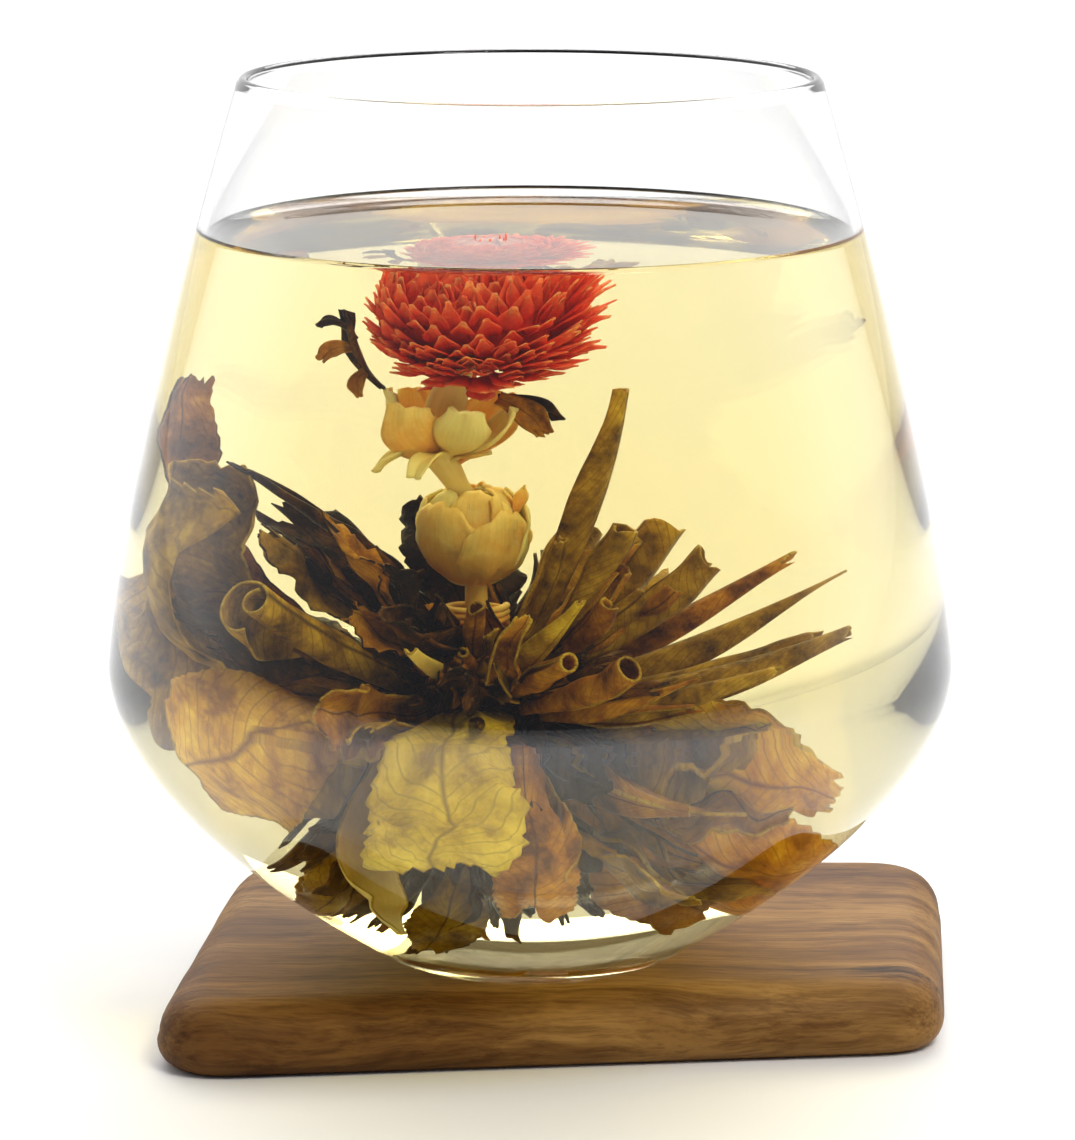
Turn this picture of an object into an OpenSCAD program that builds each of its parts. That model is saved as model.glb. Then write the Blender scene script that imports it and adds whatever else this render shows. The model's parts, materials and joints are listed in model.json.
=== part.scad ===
// Stemless glass tumbler of blooming tea, standing on a small wooden board.
// The origin is on the glass's axis at the board's underside, with +Z up and -Y towards the viewer.

/* [Board] */
// Thickness of the wooden board
board_t = 9; // [7:0.5:12]
// Radius of the board's bull-nosed edge
board_edge_r = 4; // [2:0.5:4]

/* [Tumbler] */
// Height of the tumbler
glass_h = 109; // [107:1:115]
// Outer radius at the widest point
belly_r = 52; // [51.5:0.5:54]
// Height of the widest point above the foot
belly_h = 37; // [35:1:39]
// Outer radius at the rim
rim_r = 35; // [34:0.5:38]
// Outer radius of the ring that the tumbler stands on
foot_r = 17.6; // [16:0.2:20]
// Wall thickness at the rim
rim_wall = 1.2; // [1:0.1:1.6]
// Wall thickness at the widest point
belly_wall = 1.5; // [1.2:0.1:2]
// Thickness of the base at its middle
base_wall = 3.6; // [3:0.2:5]
// Rise of the underside's dimple
dimple_h = 1; // [0.5:0.1:1.5]

/* [Tea] */
// Height of the tea's surface above the foot
fill_h = 89.4; // [89:0.2:92]
// Gap between the tea and the wall, so that the tea can turn
tea_gap = 0.2; // [0.1:0.1:0.4]

/* [Bloom] */
// Radius of the bound heart that the leaves grow from
heart_r = 9; // [8.5:0.5:9]
// Radius of the amaranth head
head_r = 10.5; // [10:0.5:10.5]
// Radius of the stem that strings the flowers
stem_r = 1.5; // [1.2:0.1:1.8]
// Radius of the cotton binding thread
thread_r = 0.45; // [0.3:0.05:0.6]

/* [Hidden] */

lathe_fn = 96;
profile_steps = 18;
upper_bow = 1.3;        // how the upper wall's radius falls off above the widest point
lower_bow = 1.8;        // how the lower wall's radius falls off below the widest point
floor_r = 16.5;         // inner radius where the wall meets the flat floor
foot_ring_w = 2.2;      // width of the ring that the tumbler stands on
foot_slope_w = 2;       // width of the slope from that ring up to the dimple
dimple_edge = 0.8;      // the dimple's height at the top of that slope, as a share of its middle
foot_round_h = 0.8;     // height at which the outer wall leaves the foot

// Board corners as [x, y, radius]; the left end is cut at a slant.
board_corners = [[-37.5, -20, 8], [44, -11.5, 7], [45.5, 37, 9], [-32, 38, 8]];

low_edge_share = 0.6;   // radius of the board's lower edge, as a share of the upper one

// Centre of the bound heart, and the foot of the flower's stem above it.
heart = [-4, 0, 32];
heart_stretch = 1.15;   // the heart is a little taller than wide
pivot = [-5, -2, 44];
stem_route = [[-5, -2, 44], [-5, -2, 50], [-6.5, -2.5, 58], [-9, -3, 63], [-8, -3, 68], [-6, -3, 74]];
head_at = [-5, -3, 79.5];

// Leaves as [name, azimuth at the root, azimuth at the tip, elevation at the root, elevation at the
// tip, length from the heart's centre, half width, half thickness, roll about the midrib, reach].
// Azimuth 0 points to +X and -90 to the viewer. A reach below 1 runs out early and then hangs.
LEAVES = [
    ["tall_needle",            -6,   -4,  60,  71, 40, 1.8, 0.9,  0,   1],
    ["right_needle_1",          4,    2,  20,  24, 37, 1.5, 0.9,  0,   1],
    ["right_needle_2",         22,   17,  26,  29, 33, 1.4, 0.8,  0,   1],
    ["right_needle_3",        -13,  -12,  11,  16, 39, 1.6, 0.9,  0,   1],
    ["right_needle_4",        -31,  -28,   9,  13, 35, 1.5, 0.9,  0,   1],
    ["right_needle_5",        -48,  -43,   8,  14, 30, 1.2, 0.8,  0,   1],
    ["rolled_tip_1",           26,   24,  48,  52, 27, 2.2, 1.4,  0,   1],
    ["rolled_tip_2",          -50,  -48,  56,  62, 24, 2.0, 1.4,  0,   1],
    ["rolled_tip_3",           58,   58,  42,  44, 26, 2.2, 1.5,  0,   1],
    ["rolled_tip_4",            0,    4,  38,  43, 27, 2.1, 1.3,  0,   1],
    ["rolled_tip_5",          -62,  -59,  16,  21, 29, 1.8, 1.5,  0,   1],
    ["rolled_tip_6",          -26,  -22,  46,  55, 27, 2.0, 1.3,  0,   1],
    ["front_needle",          -70,  -68,  30,  34, 30, 1.4, 0.9,  0,   1],
    ["hooked_leaf",           -84,  -80,  26,  36, 26, 1.6, 1.0,  0,   1],
    ["tan_roll",             -100,  -94,  32,  40, 23, 1.5, 1.1,  0,   1],
    ["serrated_leaf_right",   -20,  -16,  -8,  -5, 38, 5.0, 0.5, 45,   1],
    ["long_flat_leaf",        -44,  -32, -16,  -9, 31, 1.9, 0.6,  0,   1],
    ["low_leaf_right_1",        6,    8, -21, -20, 37, 5.0, 0.6, 20,   1],
    ["low_leaf_right_2",      -48,  -40, -28, -27, 33, 4.6, 0.6, 25,   1],
    ["wall_leaf_left",        174,  172,  -4,  46, 41, 4.8, 1.6, 60, 0.5],
    ["scroll_leaf",          -142, -140,  25,  29, 35, 4.4, 2.2, 60,   1],
    ["curled_leaf_1",         158,  158,  20,  54, 47, 2.6, 1.1, 60, 0.6],
    ["curled_leaf_2",        -146, -148,  46,  53, 31, 2.4, 1.3,  0,   1],
    ["curled_leaf_3",         142,  142,  40,  42, 33, 2.6, 1.2,  0,   1],
    ["arch_leaf",            -174, -178,  62,  49, 38, 1.6, 0.8,  0,   1],
    ["zigzag_leaf",          -164, -166,  40,  44, 34, 2.2, 1.1,  0,   1],
    ["level_leaf",            148,  152,  61,  52, 27, 1.9, 0.9,  0,   1],
    ["dark_leaf_1",          -112, -112,  50,  52, 19, 2.2, 1.1,  0,   1],
    ["dark_leaf_2",          -118, -120,  30,  34, 27, 2.8, 1.4,  0,   1],
    ["dark_leaf_3",           -96,  -97,  19,  21, 26, 2.3, 1.2,  0,   1],
    ["dark_leaf_4",          -168, -170,  18,  22, 36, 2.6, 1.2,  0,   1],
    ["dark_leaf_5",           108,  114,  62,  64, 27, 2.2, 1.1,  0,   1],
    ["ragged_leaf_left",     -131, -128,   3,   9, 33, 2.8, 0.8, 70,   1],
    ["grey_bud",             -110, -110,  20,  24, 27, 1.2, 1.0,  0,   1],
    ["midrib_leaf_left",     -152, -146,   1,  -2, 42, 6.8, 0.6, 45, 0.8],
    ["front_leaf",           -103,  -99,   7, -18, 37, 9.4, 0.6,  0, 0.6],
    ["pale_sprout",          -134, -118, -18, -43, 31, 1.4, 0.8,  0, 0.45],
    ["brown_leaf",            -76,  -80,  -6, -34, 31, 4.0, 0.5,  0, 0.6],
    ["bottom_leaf_1",        -156, -148, -34, -40, 30, 4.6, 0.6,  0,   1],
    ["bottom_leaf_2",         160,  152, -36, -44, 28, 4.6, 0.6,  0,   1],
    ["bottom_leaf_3",        -112, -116, -58, -54, 29, 3.8, 0.6,  0,   1],
    ["back_leaf_1",            92,   92,  20,  26, 36, 3.2, 1.0,  0,   1],
    ["back_leaf_2",            60,   62,  10,  14, 37, 3.2, 1.0,  0,   1],
    ["back_leaf_3",           130,  130,   8,  10, 37, 3.4, 1.0,  0,   1],
    ["back_leaf_4",            88,   88, -12, -16, 36, 5.0, 0.6,  0,   1],
    ["back_leaf_5",            36,   36, -20, -28, 35, 5.0, 0.6,  0,   1],
];
LEAF_COLOURS = ["olivedrab", "darkolivegreen", "peru", "saddlebrown"];
leaf_rings = 9;
leaf_sides = 8;
root_depth = 0.8;       // how far a leaf's root is set into the heart
width_from = 0.10;      // where on a sine's half turn a leaf's root lies
width_over = 0.85;      // how much of that half turn the leaf spans
width_power = 0.7;      // below 1 gives the leaf a fuller middle

// Leaves that have sunk to the floor, as [name, x, y, half length, half width, turn].
SETTLED = [
    ["settled_leaf_1",  -7, -6, 7, 3.2, 20],
    ["settled_leaf_2",   8, -5, 5, 2.8, -35],
    ["settled_leaf_3",   2,  8, 6, 3.0, 70],
];
settled_h = 5;          // height of their middle above the foot
settled_t = 0.9;

// Blossoms and the small leaves beside the head, with heights above the foot.
lower_jasmine_at = [-5.2, -2, 52.5];
lower_jasmine_r = 5;
lower_jasmine_half_h = 5.6;
upper_jasmine_at = [-8.6, -3, 61.5];
upper_jasmine_tilt = 8;
upper_jasmine_profile = [[0, 0], [2.4, 0], [3.4, 3], [6.6, 6], [6.6, 7.5], [0, 7.5]];
head_leaf_left_at = [-18, -2, 75.5];
head_leaf_left_r = 2;
head_leaf_left_half_h = 4.2;
head_leaf_right_at = [1, -4.5, 67];
head_leaf_right_r = 2;
head_leaf_right_half_h = 2.6;

// Room in the tea for the flower's sway: its radius at the stem's foot and wider up.
pocket_low_r = 6.5;
pocket_wide_r = 20;
pocket_cone_h = 27;
pocket_below = 0.5;

thread_turns = 3;
thread_pitch = 2.2;     // spacing of the thread's turns, in thread radii
thread_slack = 0.8;     // how far the thread stands off the stem
neck_sink = 0.2;        // how far the lowest turn is set into the heart

function upper_fall(h) = pow((h - belly_h) / (glass_h - belly_h), upper_bow);

function outer_r(h) = h < belly_h
    ? belly_r - (belly_r - foot_r) * pow(1 - h / belly_h, lower_bow)
    : belly_r - (belly_r - rim_r) * upper_fall(h);

inner_belly_r = belly_r - belly_wall;
inner_rim_r = rim_r - rim_wall;
function inner_r(h) = h < belly_h
    ? inner_belly_r - (inner_belly_r - floor_r) * pow(1 - (h - base_wall) / (belly_h - base_wall), lower_bow)
    : inner_belly_r - (inner_belly_r - inner_rim_r) * upper_fall(h);

function span(a, b, n) = [for (i = [0:n]) a + (b - a) * i / n];
function ball_dir(az, el) = [cos(az) * cos(el), sin(az) * cos(el), sin(el)];
function unit(v) = v / norm(v);

module board_corner(r) {
    inset = r - board_edge_r;
    shoulder = board_t - board_edge_r;
    arc = [for (a = [0:22.5:90]) [inset + board_edge_r * cos(a), shoulder + board_edge_r * sin(a)]];
    low_r = board_edge_r * low_edge_share;
    low_arc = [for (a = [-90:22.5:0]) [r - low_r + low_r * cos(a), low_r + low_r * sin(a)]];
    rotate_extrude($fn = 32) polygon(concat([[0, 0]], low_arc, arc, [[0, board_t]]));
}

module serving_board() {
    color("sienna") hull() {
        for (c = board_corners) translate([c[0], c[1], 0]) board_corner(c[2]);
    }
}

module tumbler() {
    outer_low = [for (h = span(foot_round_h, belly_h, profile_steps)) [outer_r(h), h]];
    outer_high = [for (h = span(belly_h, glass_h - rim_wall / 2, profile_steps)) [outer_r(h), h]];
    lip_r = (outer_r(glass_h) - inner_r(glass_h)) / 2;
    lip = [for (a = [20:35:160]) [rim_r - lip_r + lip_r * cos(a), glass_h - lip_r + lip_r * sin(a)]];
    inner_high = [for (h = span(glass_h - rim_wall / 2, belly_h, profile_steps)) [inner_r(h), h]];
    inner_low = [for (h = span(belly_h, base_wall, profile_steps)) [inner_r(h), h]];
    slope_r = foot_r - foot_ring_w;
    foot = [[0, dimple_h], [slope_r - foot_slope_w, dimple_h * dimple_edge], [slope_r, 0], [foot_r, 0]];
    tail_low = [for (i = [1:profile_steps]) outer_low[i]];
    tail_high = [for (i = [1:profile_steps]) outer_high[i]];
    tail_in = [for (i = [1:profile_steps]) inner_low[i]];
    outside = concat(foot, [outer_low[0]], tail_low, tail_high);
    inside = concat(inner_high, tail_in, [[0, base_wall]]);
    color("lightcyan", 0.3) translate([0, 0, board_t]) rotate_extrude($fn = lathe_fn)
        polygon(concat(outside, lip, inside));
}

// The space that the flower sweeps as it sways, measured from the foot of its stem.
module sway_pocket() {
    rotate_extrude($fn = lathe_fn)
        polygon([[0, -pocket_below], [pocket_low_r, -pocket_below], [pocket_wide_r, pocket_cone_h],
                 [pocket_wide_r, fill_h], [0, fill_h]]);
}

module tea() {
    low = [for (h = span(base_wall + tea_gap, belly_h, profile_steps)) [inner_r(h - tea_gap) - tea_gap, h]];
    high = [for (h = span(belly_h, fill_h, profile_steps)) [inner_r(h) - tea_gap, h]];
    tail = [for (i = [1:profile_steps]) high[i]];
    color("khaki", 0.5) translate([0, 0, board_t]) difference() {
        rotate_extrude($fn = lathe_fn)
            polygon(concat([[0, base_wall + tea_gap]], low, tail, [[0, fill_h]]));
        translate(pivot) sway_pocket();
    }
}

module bound_heart() {
    half = [for (a = [-90:15:90]) [heart_r * cos(a), heart_r * heart_stretch * sin(a)]];
    color("saddlebrown") translate([0, 0, board_t]) translate(heart) rotate_extrude($fn = 48) polygon(half);
}

module binding_thread() {
    neck = heart_r * heart_stretch - neck_sink;
    ring_r = stem_r + thread_r + thread_slack;
    color("white") translate([pivot[0], pivot[1], board_t + heart[2] + neck])
        for (i = [0:thread_turns - 1]) translate([0, 0, i * thread_pitch * thread_r])
            rotate_extrude($fn = 48) translate([ring_r, 0]) circle(thread_r, $fn = 16);
}

// One closed leaf: an oval section swept outwards from the heart.
function leaf_width(u) = pow(max(0.05, sin(180 * (width_from + width_over * u))), width_power);
function leaf_spine(f, u) =
    let (s = heart_r - root_depth + (f[5] - heart_r + root_depth) * pow(u, f[9]))
    heart + s * ball_dir(f[1] + (f[2] - f[1]) * u, f[3] + (f[4] - f[3]) * u);

module leaf(i) {
    f = LEAVES[i];
    n = leaf_rings - 1;
    mid = [for (i = [0:n]) leaf_spine(f, i / n)];
    along = [for (i = [0:n]) unit(mid[min(n, i + 1)] - mid[max(0, i - 1)])];
    flat = [for (i = [0:n]) unit(cross(along[i], [0, 0, 1]))];
    up = [for (i = [0:n]) cross(flat[i], along[i])];
    across = [for (i = [0:n]) cos(f[8]) * flat[i] + sin(f[8]) * up[i]];
    above = [for (i = [0:n]) cos(f[8]) * up[i] - sin(f[8]) * flat[i]];
    points = [for (i = [0:n], k = [0:leaf_sides - 1])
        let (w = leaf_width(i / n), a = 360 * k / leaf_sides)
        mid[i] + w * (f[6] * cos(a) * across[i] + f[7] * sin(a) * above[i])];
    sides = [for (i = [0:n - 1], k = [0:leaf_sides - 1])
        let (j = (k + 1) % leaf_sides)
        each [[i * leaf_sides + k, i * leaf_sides + j, (i + 1) * leaf_sides + j],
              [i * leaf_sides + k, (i + 1) * leaf_sides + j, (i + 1) * leaf_sides + k]]];
    ends = [[for (k = [leaf_sides - 1:-1:0]) k], [for (k = [0:leaf_sides - 1]) n * leaf_sides + k]];
    color(LEAF_COLOURS[i % len(LEAF_COLOURS)])
        translate([0, 0, board_t]) polyhedron(points, concat(sides, ends));
}

module settled_leaf(f) {
    points = [for (a = [0:30:330]) [f[3] * cos(a), f[4] * sin(a)]];
    color("darkkhaki") translate([f[1], f[2], board_t + settled_h]) rotate([0, 0, f[5]])
        linear_extrude(settled_t, center = true) polygon(points);
}

module flower_stem() {
    sides = 8;
    last = len(stem_route) - 1;
    points = [for (i = [0:last], k = [0:sides - 1])
        stem_route[i] + stem_r * [cos(360 * k / sides), sin(360 * k / sides), 0]];
    walls = [for (i = [0:last - 1], k = [0:sides - 1])
        let (j = (k + 1) % sides)
        each [[i * sides + k, (i + 1) * sides + j, i * sides + j],
              [i * sides + k, (i + 1) * sides + k, (i + 1) * sides + j]]];
    ends = [[for (k = [0:sides - 1]) k], [for (k = [sides - 1:-1:0]) last * sides + k]];
    color("palegoldenrod") translate([0, 0, board_t]) polyhedron(points, concat(walls, ends));
}

module lower_jasmine() {
    half = [for (a = [-90:15:90]) [lower_jasmine_r * cos(a), lower_jasmine_half_h * sin(a)]];
    color("wheat") translate([0, 0, board_t]) translate(lower_jasmine_at)
        rotate_extrude($fn = 48) polygon(half);
}

module upper_jasmine() {
    color("lemonchiffon") translate([0, 0, board_t]) translate(upper_jasmine_at)
        rotate([0, upper_jasmine_tilt, 0]) rotate_extrude($fn = 48) polygon(upper_jasmine_profile);
}

module amaranth_head() {
    half = [for (a = [-70:14:84]) [head_r * cos(a), (head_r - 1) * sin(a)]];
    color("tomato") translate([0, 0, board_t]) translate(head_at)
        rotate_extrude($fn = 48) polygon(concat([[0, half[0][1]]], half, [[0, half[len(half) - 1][1]]]));
}

module head_leaf(at, r, long) {
    half = [for (a = [-90:22.5:90]) [r * cos(a), long * sin(a)]];
    color("darkolivegreen") translate([at[0], at[1], board_t + at[2]]) rotate_extrude($fn = 24) polygon(half);
}

serving_board();
tumbler();
tea();
bound_heart();
binding_thread();
for (i = [0:len(LEAVES) - 1]) leaf(i);
for (f = SETTLED) settled_leaf(f);
flower_stem();
lower_jasmine();
upper_jasmine();
amaranth_head();
union() {  // head_leaf_left
    head_leaf(head_leaf_left_at, head_leaf_left_r, head_leaf_left_half_h);
}
union() {  // head_leaf_right
    head_leaf(head_leaf_right_at, head_leaf_right_r, head_leaf_right_half_h);
}
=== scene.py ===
"""A stemless glass tumbler of blooming tea on a small wooden board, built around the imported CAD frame."""

import json
import math
import random

import bmesh
import bpy
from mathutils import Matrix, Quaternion, Vector, noise


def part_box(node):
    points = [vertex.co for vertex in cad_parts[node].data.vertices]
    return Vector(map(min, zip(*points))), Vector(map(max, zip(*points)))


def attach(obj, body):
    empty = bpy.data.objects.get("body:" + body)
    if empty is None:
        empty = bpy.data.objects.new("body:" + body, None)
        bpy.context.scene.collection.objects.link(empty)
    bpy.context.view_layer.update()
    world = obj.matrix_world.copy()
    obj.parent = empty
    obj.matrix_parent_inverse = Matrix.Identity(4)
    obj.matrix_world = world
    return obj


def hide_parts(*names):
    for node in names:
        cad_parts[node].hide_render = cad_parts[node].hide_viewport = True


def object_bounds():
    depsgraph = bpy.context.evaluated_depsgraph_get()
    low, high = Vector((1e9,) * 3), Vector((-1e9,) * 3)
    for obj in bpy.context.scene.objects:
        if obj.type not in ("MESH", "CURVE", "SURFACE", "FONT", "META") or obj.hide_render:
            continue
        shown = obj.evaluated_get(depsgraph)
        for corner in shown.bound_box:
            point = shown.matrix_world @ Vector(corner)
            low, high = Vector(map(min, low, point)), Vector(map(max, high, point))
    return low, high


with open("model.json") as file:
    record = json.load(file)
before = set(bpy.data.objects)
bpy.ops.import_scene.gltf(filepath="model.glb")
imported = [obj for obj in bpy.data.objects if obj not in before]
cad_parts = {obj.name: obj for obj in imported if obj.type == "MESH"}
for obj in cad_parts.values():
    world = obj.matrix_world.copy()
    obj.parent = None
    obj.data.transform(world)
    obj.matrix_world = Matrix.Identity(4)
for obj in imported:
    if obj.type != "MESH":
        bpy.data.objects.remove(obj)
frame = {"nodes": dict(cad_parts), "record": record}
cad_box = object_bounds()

MM = 0.001
RNG = random.Random(7)
UP = Vector((0, 0, 1))


# ---------------------------------------------------------------- small helpers

def lerp(a, b, t):
    return a + (b - a) * t


def smooth(t):
    t = min(max(t, 0.0), 1.0)
    return t * t * (3 - 2 * t)


def golden_turn(k):
    """The angle of the k-th point of an even spiral over a ball."""
    return k * math.pi * (3 - math.sqrt(5))


def middle(node):
    lo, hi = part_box(node)
    return (Vector(lo) + Vector(hi)) / 2


def wobble(p, scale, seed=0.0):
    """Smooth noise from -1 to 1 at a point in metres; scale is its feature size in metres."""
    return noise.noise(Vector(p) / scale + Vector((seed, seed * 1.7, -seed)))


def add_piece(name, verts, faces, materials, body, uvs=None, nodes=(), slot=None, picks=None):
    """A mesh object that rides on a body. uvs holds one (u, v) per vertex, picks one material per face."""
    if not isinstance(materials, list):
        materials = [materials]
    mesh = bpy.data.meshes.new(name)
    mesh.from_pydata([tuple(v) for v in verts], [], faces)
    mesh.update()
    if uvs:
        layer = mesh.uv_layers.new(name="leaf")
        for loop in mesh.loops:
            layer.data[loop.index].uv = uvs[loop.vertex_index]
    mesh.polygons.foreach_set("use_smooth", [True] * len(mesh.polygons))
    for material in materials:
        mesh.materials.append(material)
    if picks:
        mesh.polygons.foreach_set("material_index", picks)
    piece = bpy.data.objects.new(name, mesh)
    bpy.context.scene.collection.objects.link(piece)
    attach(piece, body)
    if nodes:
        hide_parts(*nodes)
    return piece


def add_thickness(piece, thickness, rim=0):
    """Gives sheets their thickness; rim is how far along the material list the cut edge's own lies."""
    solid = piece.modifiers.new("thickness", "SOLIDIFY")
    solid.thickness = thickness
    solid.offset = 0.0
    solid.material_offset_rim = rim
    return piece


def grid_faces(rows, cols, closed=False, start=0):
    """Quads over a grid of rows by cols vertices; closed joins the last column to the first."""
    wide = cols if closed else cols - 1
    out = []
    for i in range(rows - 1):
        for j in range(wide):
            k = (j + 1) % cols
            a, b = start + i * cols, start + (i + 1) * cols
            out.append((a + j, a + k, b + k, b + j))
    return out


def lathe(name, profile, segments, material, body, **kw):
    """Turns a profile of (radius, height), from axis to axis, into one closed solid."""
    inner = [p for p in profile if p[0] > 1e-7]
    verts = []
    for r, z in inner:
        for k in range(segments):
            a = 2 * math.pi * k / segments
            verts.append((r * math.cos(a), r * math.sin(a), z))
    faces = grid_faces(len(inner), segments, closed=True)
    first, last = len(verts), len(verts) + 1
    verts += [(0, 0, profile[0][1]), (0, 0, profile[-1][1])]
    top = (len(inner) - 1) * segments
    for k in range(segments):
        n = (k + 1) % segments
        faces.append((first, n, k))
        faces.append((last, top + k, top + n))
    return add_piece(name, verts, faces, material, body, **kw)


# ---------------------------------------------------------------- materials

def new_material(name):
    material = bpy.data.materials.new(name)
    material.use_nodes = True
    tree = material.node_tree
    return material, tree, tree.nodes["Principled BSDF"]


def node(tree, kind, **values):
    made = tree.nodes.new(kind)
    for key, value in values.items():
        if key in made.inputs:
            made.inputs[key].default_value = value
        else:
            setattr(made, key, value)
    return made


def ramp(tree, source, stops):
    made = tree.nodes.new("ShaderNodeValToRGB")
    tree.links.new(source, made.inputs[0])
    spots = made.color_ramp.elements
    while len(spots) < len(stops):
        spots.new(0.5)
    for spot, (at, colour) in zip(spots, stops):
        spot.position = at
        spot.color = (*colour, 1)
    return made.outputs["Color"]


def mix(tree, fac, a, b, blend="MIX"):
    made = tree.nodes.new("ShaderNodeMix")
    made.data_type = "RGBA"
    made.blend_type = blend
    for socket, value in ((made.inputs[0], fac), (made.inputs[6], a), (made.inputs[7], b)):
        if hasattr(value, "links"):
            tree.links.new(value, socket)
        elif isinstance(value, tuple):
            socket.default_value = (*value, 1)
        else:
            socket.default_value = value
    return made.outputs[2]


def maths(tree, operation, a, b=None, c=None):
    made = tree.nodes.new("ShaderNodeMath")
    made.operation = operation
    for socket, value in zip(made.inputs, (a, b, c)):
        if hasattr(value, "links"):
            tree.links.new(value, socket)
        elif value is not None:
            socket.default_value = value
    return made.outputs[0]


def bump(tree, shader, height, strength, distance):
    made = node(tree, "ShaderNodeBump", Strength=strength, Distance=distance)
    tree.links.new(height, made.inputs["Height"])
    tree.links.new(made.outputs[0], shader.inputs["Normal"])


def let_lamps_through(tree, shader, tint):
    """Lets lamps and bounced light through clear material unbent, so that what it holds is lit."""
    path = tree.nodes.new("ShaderNodeLightPath")
    clear = node(tree, "ShaderNodeBsdfTransparent", Color=(*tint, 1))
    surface = shader.outputs[0]
    for ray in ("Is Diffuse Ray", "Is Shadow Ray"):
        blend = tree.nodes.new("ShaderNodeMixShader")
        tree.links.new(path.outputs[ray], blend.inputs[0])
        tree.links.new(surface, blend.inputs[1])
        tree.links.new(clear.outputs[0], blend.inputs[2])
        surface = blend.outputs[0]
    tree.links.new(surface, tree.nodes["Material Output"].inputs["Surface"])


def clear_material(name, tint, ior, lamp_tint, shine):
    material, tree, shader = new_material(name)
    shader.inputs["Base Color"].default_value = (*tint, 1)
    shader.inputs["Roughness"].default_value = 0.0
    shader.inputs["IOR"].default_value = ior
    shader.inputs["Specular IOR Level"].default_value = shine
    shader.inputs["Transmission Weight"].default_value = 1.0
    let_lamps_through(tree, shader, lamp_tint)
    return material, tree


def glass_material():
    return clear_material("clear_glass", (0.965, 0.97, 0.965), 1.5, (0.97, 0.98, 0.98), 0.2)[0]


def tea_material():
    material, tree = clear_material("tea_liquid", (1, 1, 1), 1.333, (0.98, 0.90, 0.60), 0.5)
    volume = node(tree, "ShaderNodeVolumeAbsorption", Color=(0.888, 0.765, 0.14, 1), Density=13.0)
    tree.links.new(volume.outputs[0], tree.nodes["Material Output"].inputs["Volume"])
    return material


def leaf_uv(tree):
    """How far along a blade a point lies, and how far across it from the midrib."""
    uv = node(tree, "ShaderNodeUVMap", uv_map="leaf")
    split = tree.nodes.new("ShaderNodeSeparateXYZ")
    tree.links.new(uv.outputs[0], split.inputs[0])
    off = maths(tree, "ABSOLUTE", maths(tree, "SUBTRACT", split.outputs["Y"], 0.5))
    return split.outputs["X"], off


def leaf_material(name, dark, mid, light, rough=0.38, glow=0.0):
    """Wet tea leaf: blotches, a darker midrib and fine side veins."""
    material, tree, shader = new_material(name)
    place = tree.nodes.new("ShaderNodeTexCoord").outputs["Object"]
    blotch = node(tree, "ShaderNodeTexNoise", Scale=210.0, Detail=6.0, Roughness=0.65)
    fine = node(tree, "ShaderNodeTexNoise", Scale=1500.0, Detail=3.0, Roughness=0.65)
    for texture in (blotch, fine):
        tree.links.new(place, texture.inputs["Vector"])
    far, off = leaf_uv(tree)
    colour = ramp(tree, blotch.outputs["Fac"], [(0.36, dark), (0.50, mid), (0.66, light)])
    colour = mix(tree, 0.55, colour, fine.outputs["Fac"], "SOFT_LIGHT")
    rib = ramp(tree, off, [(0.0, (1, 1, 1)), (0.03, (0, 0, 0))])
    colour = mix(tree, rib, colour, tuple(c * 0.7 for c in dark))
    slant = maths(tree, "MULTIPLY", maths(tree, "MULTIPLY_ADD", off, 0.55, far), 92.0)
    veins = ramp(tree, maths(tree, "SINE", slant), [(0.80, (0, 0, 0)), (1.0, (0.6, 0.6, 0.6))])
    colour = mix(tree, veins, colour, tuple(c * 0.55 for c in mid))
    tree.links.new(colour, shader.inputs["Base Color"])
    shader.inputs["Roughness"].default_value = rough
    shader.inputs["Specular IOR Level"].default_value = 0.12
    if glow:
        shader.inputs["Subsurface Weight"].default_value = glow
        shader.inputs["Subsurface Radius"].default_value = (1.0, 0.7, 0.25)
        shader.inputs["Subsurface Scale"].default_value = 0.0012
    bump(tree, shader, fine.outputs["Fac"], 0.5, 0.0004)
    return material


def petal_material(name, stops, glow, scale=420.0, radius=(1.0, 0.5, 0.2), depth=0.0018):
    """Thin soft petal: colour runs from its root to its tip, broken up by fine blotches."""
    material, tree, shader = new_material(name)
    place = tree.nodes.new("ShaderNodeTexCoord").outputs["Object"]
    far, off = leaf_uv(tree)
    spots = node(tree, "ShaderNodeTexNoise", Scale=scale, Detail=5.0, Roughness=0.65)
    tree.links.new(place, spots.inputs["Vector"])
    along_it = maths(tree, "MULTIPLY_ADD", spots.outputs["Fac"], 0.7, maths(tree, "MULTIPLY", far, 0.55))
    colour = ramp(tree, along_it, stops)
    streaks = ramp(tree, maths(tree, "SINE", maths(tree, "MULTIPLY", off, 70.0)),
                   [(0.5, (0, 0, 0)), (1.0, (0.12, 0.12, 0.12))])
    colour = mix(tree, streaks, colour, tuple(c * 0.7 for c in stops[0][1]))
    tree.links.new(colour, shader.inputs["Base Color"])
    shader.inputs["Roughness"].default_value = 0.45
    shader.inputs["Specular IOR Level"].default_value = 0.35
    shader.inputs["Subsurface Weight"].default_value = glow
    shader.inputs["Subsurface Radius"].default_value = radius
    shader.inputs["Subsurface Scale"].default_value = depth
    bump(tree, shader, spots.outputs["Fac"], 0.45, 0.0004)
    return material


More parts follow.
